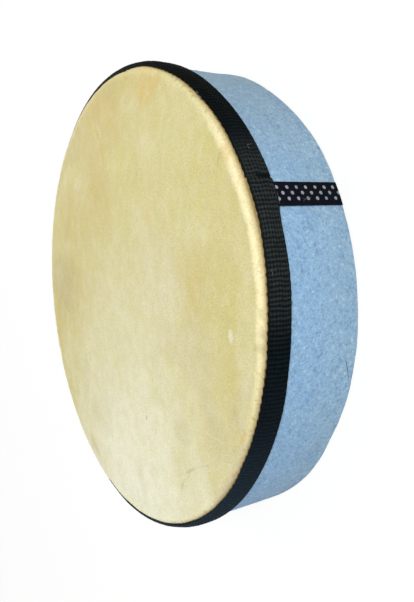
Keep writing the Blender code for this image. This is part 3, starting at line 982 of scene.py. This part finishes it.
ribbon = {
    "rib": 0.62 * mm,
    "ribDepth": 0.05 * mm,
    "ribSteps": 6,
    "acrossSteps": 30,
    "selvedge": 0.55 * mm,
    "groove": 0.05 * mm,
    "edgeWander": 0.05 * mm,
    "edgeWave": 7 * mm,
    "rearGap": 0.8 * mm,  # its end stops short of the felt's edge
    "lean": 0.02,  # sideways over height
    "dotPitch": 5.48 * mm,
    "dotRows": (3.1 * mm, 0.4 * mm, -2.3 * mm),
    "dotFirst": (4.0 * mm, 1.6 * mm, 4.6 * mm),  # height of each row's lowest dot
    "dotSize": 1.74 * mm,
    "dotStray": 0.08 * mm,
    "dotSpread": (0.94, 1.05),
    "dotMargin": 0.02 * mm,  # kept clear of the ribbon's end
    "dotCorners": 28,
    # from the middle over the rim and back under: share of the dot's size, millimetres above the ribs
    "dotSection": (
        (0.02, 0.028), (0.3, 0.028), (0.6, 0.028), (0.85, 0.026),
        (0.97, 0.018), (1.0, 0.004), (0.97, -0.01), (0.02, -0.01),
    ),
}

ribbonTones = {
    "black": tint(13, 15, 22),
    "dusty": tint(20, 21, 30),
    "dot": tint(134, 150, 161),
    "paleDot": tint(158, 163, 174),
    "wornDot": tint(96, 100, 112),
}


def ribbonTurn(across, height):
    middle = (ribbonRing["low"] + ribbonRing["high"]) / 2
    return seamTurn + (across + ribbon["lean"] * (middle - height)) / ribbonRing["outer"]


def ribbonSurface(across, height):
    # radius of the ribbon's face: ribs over its width, a bead along each edge
    half = ribbonRing["span"] / 2 * ribbonRing["outer"]
    rib = 0.5 + 0.5 * np.cos(2 * math.pi * height / ribbon["rib"])
    toEdge = half - np.abs(across)
    bead = np.exp(-((toEdge - ribbon["selvedge"] / 2) / (ribbon["selvedge"] / 2.5)) ** 2)
    groove = np.exp(-((toEdge - ribbon["selvedge"] * 1.4) / (ribbon["selvedge"] / 2)) ** 2)
    ribbed = ribbon["ribDepth"] * (1 - rib) * (1 - 0.5 * bead)
    return ribbonRing["outer"] - ribbed - ribbon["groove"] * groove


def layRibbon():
    half = ribbonRing["span"] / 2 * ribbonRing["outer"]
    low, high = ribbonRing["low"] + ribbon["rearGap"], ribbonRing["high"]
    stations = int((high - low) / ribbon["rib"] * ribbon["ribSteps"])
    height = np.linspace(low, high, stations)[:, None]
    across = np.linspace(-half, half, ribbon["acrossSteps"])[None, :]
    wander = ribbon["edgeWander"] * ripple(onHoop(0.0, 0.0, height), ribbon["edgeWave"], 81)
    outer = onHoop(ribbonTurn(across + wander, height), ribbonSurface(across, height), height)
    back = across[:, ::-2]
    inner = onHoop(ribbonTurn(back + wander, height), ribbonRing["inner"], height)
    points = np.concatenate([outer, inner], axis=1)
    spread = np.concatenate([across, back], axis=1)
    lay = np.stack(np.broadcast_arrays(height / mm, spread / mm, 0.0), axis=-1)
    piece = makePiece("dotRibbon", points, bandFaces(points), ribbonLook(), lay)
    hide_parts("seam_ribbon")
    dots = printDots()
    2 * half
    high - low


def printDots():
    # each dot is a thin disc of print that follows the ribs
    rng = np.random.default_rng(82)
    rim = np.linspace(0, 2 * math.pi, ribbon["dotCorners"], endpoint=False)
    lowest = ribbonRing["low"] + ribbon["rearGap"] + ribbon["dotMargin"]
    points, faces = [], []
    for across, first in zip(ribbon["dotRows"], ribbon["dotFirst"]):
        count = int((ribbonRing["high"] - first) / ribbon["dotPitch"]) + 1
        for index in range(count):
            middle = first + index * ribbon["dotPitch"] + rng.normal(0, ribbon["dotStray"])
            size = ribbon["dotSize"] / 2 * rng.uniform(*ribbon["dotSpread"])
            uneven = 1 + 0.03 * np.cos(3 * rim + rng.uniform(0, 6))
            uneven = uneven + 0.02 * np.cos(5 * rim + rng.uniform(0, 6))
            start = len(points) * rim.size
            for share, rise in ribbon["dotSection"]:
                side = across + size * share * uneven * np.cos(rim)
                level = np.clip(middle + size * share * uneven * np.sin(rim), lowest, ribbonRing["high"])
                radius = ribbonSurface(side, level) + rise * mm
                points.append(onHoop(ribbonTurn(side, level), radius, level))
            loop = np.arange(rim.size) + start
            under = loop + (len(ribbon["dotSection"]) - 1) * rim.size
            faces += list(gridFaces(len(ribbon["dotSection"]), rim.size) + start) + [loop, under[::-1]]
    return makePiece("ribbonDots", np.concatenate(points), faces, dotLook())


def ribbonLook():
    look = Look("blackRibbon", Specular_IOR_Level=0.02)
    lay = look.attribute("lay")
    thread = look.noise(look.stretched(lay, (1.0, 0.15, 0.0)), 0.25, 3.0, 91.0, 0.6)
    cloud = look.noise(lay, 5.0, 3.0, 92.0)
    colour = look.blend(cloud.between(0.3, 0.7), ribbonTones["black"], ribbonTones["dusty"])
    colour = look.shade(colour, (thread - 0.5) * 0.8)
    rough = 0.58 + (thread - 0.5) * 0.3
    return look.finish(Base_Color=colour, Roughness=rough, Normal=look.bump(thread, 0.04 * mm))


def dotLook():
    look = Look("paleDotPrint", Specular_IOR_Level=0.1)
    spot = look.place()
    wear = look.noise(spot, 0.5, 3.0, 95.0, 0.65)
    tone = look.noise(spot, 6.0, 1.0, 96.0)
    colour = look.blend(tone.between(0.35, 0.65), ribbonTones["dot"], ribbonTones["paleDot"])
    colour = look.blend(wear.between(0.62, 0.78) * 0.6, colour, ribbonTones["wornDot"])
    return look.finish(Base_Color=colour, Roughness=0.6, Normal=look.bump(wear, 0.03 * mm))


# stray fibres that cling to the cloth

# what each lies on, its thickness, its tone, then turns in degrees and heights along it; in millimetres
strays = {
    "lintAcross": ("webbing", 0.30, (94, 94, 88), ((-61.5, 42.4), (-61.7, 44.1), (-61.8, 45.7))),
    "lintDown": ("webbing", 0.26, (80, 82, 76), ((-61.8, 45.6), (-62.4, 45.3), (-63.0, 45.2))),
    "lintBit": ("webbing", 0.20, (92, 94, 92), ((-86.5, 50.4), (-87.1, 50.0), (-87.7, 49.8))),
    "endThread": (
        "webbing", 0.22, (88, 94, 102), ((-72.0, 38.95), (-72.9, 39.0), (-73.8, 39.35), (-74.6, 39.3)),
    ),
    "tanFibre": ("ribbon", 0.20, (128, 116, 96), ((-72.8, 19.3), (-73.2, 22.0), (-73.1, 24.3))),
    "tanFork": ("ribbon", 0.18, (122, 110, 92), ((-73.2, 22.8), (-73.4, 23.6), (-73.7, 24.6))),
    "lintTop": ("webbing", 0.20, (62, 60, 58), ((-41.2, 44.3), (-40.4, 42.9), (-39.6, 41.2))),
    "frayedBit": ("rim", 0.50, (84, 92, 88), ((-44.6, 52.3), (-45.3, 52.5), (-45.9, 52.8))),
    "frayedEnd": ("rim", 0.45, (90, 97, 92), ((-46.6, 53.0), (-47.0, 53.1), (-47.6, 53.0))),
    "feltHair": (
        "felt", 0.34, (92, 118, 142), ((-105.9, 6.8), (-106.5, 6.2), (-108.7, 4.3), (-110.9, 2.5)),
    ),
}


def dropFibres():
    faces = {
        "webbing": webbingRing["outer"],
        "rim": webbingRing["inner"] + 0.6 * mm,
        "ribbon": ribbonRing["outer"],
        "felt": feltRing["outer"] + 0.26 * mm,
    }
    share = np.linspace(0, 1, 9)
    for name, (on, thick, tone, way) in strays.items():
        turns, heights = np.array(way).T
        knots = np.linspace(0, 1, len(way))
        turn = np.radians(np.interp(share, knots, turns))
        height = np.interp(share, knots, heights) * mm
        line = onHoop(turn, faces[on] + thick * mm * 0.4, height)[None]
        look = Look(name + "Look", Specular_IOR_Level=0.1, Roughness=0.8)
        uneven = look.noise(look.place(), 0.8, 2.0, 121.0)
        material = look.finish(Base_Color=look.shade(tint(*tone), (uneven - 0.5) * 0.6))
        strandPiece(name, line, onHoop(turn, 1.0, 0.0)[None], np.array([thick * mm]), material)


# bent plies of the hoop

ply = {
    "tones": {
        "shell_inner_ply": (tint(226, 200, 150), tint(196, 160, 104)),
        "shell_core_ply": (tint(206, 172, 118), tint(170, 130, 82)),
        "shell_outer_ply": (tint(220, 192, 142), tint(188, 152, 98)),
    },
    "names": {"shell_inner_ply": "innerPly", "shell_core_ply": "corePly", "shell_outer_ply": "outerPly"},
}


def plyLook(node):
    look = Look("birch_" + ply["names"][node], Specular_IOR_Level=0.3)
    x, y, z = look.apart(look.place())
    around = x.maths("ARCTAN2", y, x) * (ringOf(node)["outer"] / mm)
    across = (x * x + y * y) ** 0.5
    lay = look.node("CombineXYZ", sockets={0: around, 1: z, 2: across})
    drawn = look.stretched(lay, (0.04, 1.0, 1.0))
    figure = look.noise(drawn, 3.2, 4.0, 101.0, 0.6)
    pores = look.noise(look.stretched(lay, (0.10, 2.5, 2.5)), 0.5, 2.0, 102.0, 0.6)
    pale, dark = ply["tones"][node]
    colour = look.blend(figure.between(0.3, 0.72), pale, dark)
    colour = look.shade(colour, (pores - 0.5) * 0.35)
    rough = 0.55 + (pores - 0.5) * 0.25
    return look.finish(Base_Color=colour, Roughness=rough, Normal=look.bump(pores, 0.08 * mm))


def finishPlies():
    for node in ply["names"]:
        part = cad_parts[node]
        part.data.materials.clear()
        part.data.materials.append(plyLook(node))


def finishStaples():
    look = Look("stapleWire", Metallic=1.0)
    spot = look.place()
    drawn = look.noise(look.stretched(spot, (0.2, 0.2, 4.0)), 0.4, 3.0, 111.0, 0.6)
    colour = look.blend(drawn, tint(168, 168, 166), tint(206, 206, 204))
    material = look.finish(Base_Color=colour, Roughness=0.28 + drawn * 0.2)
    for node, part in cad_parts.items():
        if node.startswith("head_staple"):
            part.data.materials.clear()
            part.data.materials.append(material)


# camera, light and floor

shot = {
    "eye": Vector((0.00219, -0.31410, 0.20185)),
    "ahead": Vector((-0.02079, 0.83906, -0.54365)),
    "upright": Vector((0.99619, -0.02866, -0.08233)),
    "focal": 600.4,  # in pixels of the frame
    "frameHeight": 602,
}


def setCamera():
    data = bpy.data.cameras.new("camera")
    data.sensor_width = 36.0
    data.lens = shot["focal"] / shot["frameHeight"] * data.sensor_width
    data.clip_start = 0.01
    camera = bpy.data.objects.new("camera", data)
    bpy.context.scene.collection.objects.link(camera)
    back = -shot["ahead"].normalized()
    right = shot["upright"].cross(back).normalized()
    above = back.cross(right)
    turn = Matrix((right, above, back)).transposed().to_4x4()
    camera.matrix_world = Matrix.Translation(shot["eye"]) @ turn
    bpy.context.scene.camera = camera


lamps = {
    "frontLamp": dict(toward=(0.15, -0.73, 0.66), far=1.7, size=0.8, level=0.70, tone=(1.0, 0.985, 0.95)),
    "topLamp": dict(toward=(0.05, 0.20, 0.98), far=1.5, size=1.0, level=0.12, tone=(1.0, 1.0, 0.98)),
    "sideLamp": dict(toward=(-0.75, -0.40, 0.53), far=1.5, size=0.9, level=0.10, tone=(0.80, 0.91, 1.0)),
    "backLamp": dict(toward=(0.35, 0.80, 0.49), far=1.7, size=1.0, level=0.22, tone=(1.0, 1.0, 1.0)),
}
skyLevel = 0.26
white = (1.0, 1.0, 1.0, 1.0)


def addLamp(name, toward, far, size, level, tone):
    # level is how brightly the lamp alone shows a white card that faces it
    data = bpy.data.lights.new(name, "AREA")
    data.shape = "DISK"
    data.size = size
    data.energy = level * (math.pi * far) ** 2
    data.color = tone
    lamp = bpy.data.objects.new(name, data)
    bpy.context.scene.collection.objects.link(lamp)
    away = Vector(toward).normalized()
    lamp.location = away * far
    lamp.rotation_mode = "QUATERNION"
    lamp.rotation_quaternion = (-away).to_track_quat("-Z", "Y")


def setLights():
    for name, lamp in lamps.items():
        addLamp(name, **lamp)
    world = bpy.data.worlds.new("studio")
    bpy.context.scene.world = world
    world.use_nodes = True
    studio = NodeTree(world.node_tree)
    sky = studio.tree.nodes["Background"]
    level = studio.node("MapRange", {}, {"Value": studio.seen(), "To Min": skyLevel, "To Max": 1.0})
    studio.feed(sky.inputs["Strength"], level)
    studio.feed(sky.inputs["Color"], white)


ground = {
    "half": 4.0,
    "drop": 0.1 * mm,  # below the hoop's rear edge
    "grey": (0.5, 0.5, 0.5, 1.0),  # what lights the drum from below
    "pale": (0.9, 0.9, 0.9, 1.0),  # what shows
    "glow": 1.05,
    "glowShare": 0.82,  # the rest keeps the drum's shadow
}


def setFloor():
    half, level = ground["half"], -ground["drop"]
    corners = [(half * x, half * y, level) for x, y in ((-1, -1), (1, -1), (1, 1), (-1, 1))]
    mesh = bpy.data.meshes.new("floor")
    mesh.from_pydata(corners, [], [(0, 1, 2, 3)])
    floor = bpy.data.objects.new("floor", mesh)
    bpy.context.scene.collection.objects.link(floor)
    look = Look("whiteFloor", Roughness=1.0, Specular_IOR_Level=0.0)
    seen = look.seen()
    look.finish(Base_Color=look.blend(seen, ground["grey"], ground["pale"]))
    glow = look.node("Emission", sockets={"Color": white, "Strength": ground["glow"]})
    lit = Wire(look, look.shader.outputs[0])
    mixed = look.node("MixShader", sockets={0: seen * ground["glowShare"], 1: lit, 2: glow})
    look.feed(look.tree.nodes["Material Output"].inputs["Surface"], mixed)
    mesh.materials.append(look.material)


bpy.context.scene.view_settings.view_transform = "Standard"
setCamera()
setLights()
setFloor()
print("camera, lights and floor set")
drawSkin()
print("skin drawn over the rim")
layFelt()
print("felt laid")
layRibbon()
print("ribbon laid")
weaveWebbing()
print("webbing woven")
dropFibres()
print("stray fibres dropped")
finishPlies()
finishStaples()
print("plies and staples finished")
